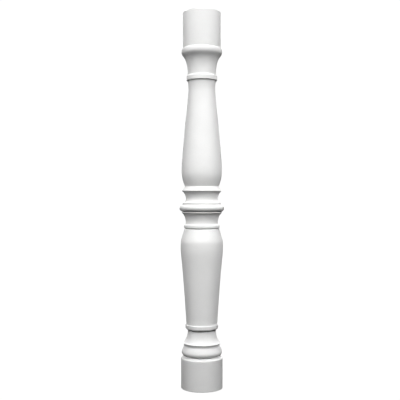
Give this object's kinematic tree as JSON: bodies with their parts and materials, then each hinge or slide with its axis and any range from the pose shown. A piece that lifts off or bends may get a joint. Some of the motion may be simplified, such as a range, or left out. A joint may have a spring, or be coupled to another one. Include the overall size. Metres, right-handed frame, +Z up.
{
  "type": "stone baluster",
  "caption": "Turned stone baluster with round end blocks, vase-shaped shafts, a middle girdle and moulded rings, to stand under a handrail.",
  "frame": {"origin": "middle of the flat underside of the foot block", "axes": "+Z up along the turning axis, from the foot block to the head block; X and Y are level and equal, because the part is turned"},
  "size_m": [0.1076, 0.1076, 0.9],
  "materials": {
    "white_stone": "fine white stone, turned and rubbed smooth, matt"
  },
  "bodies": {
    "root": {"baluster": "white_stone"}
  },
  "joints": []
}
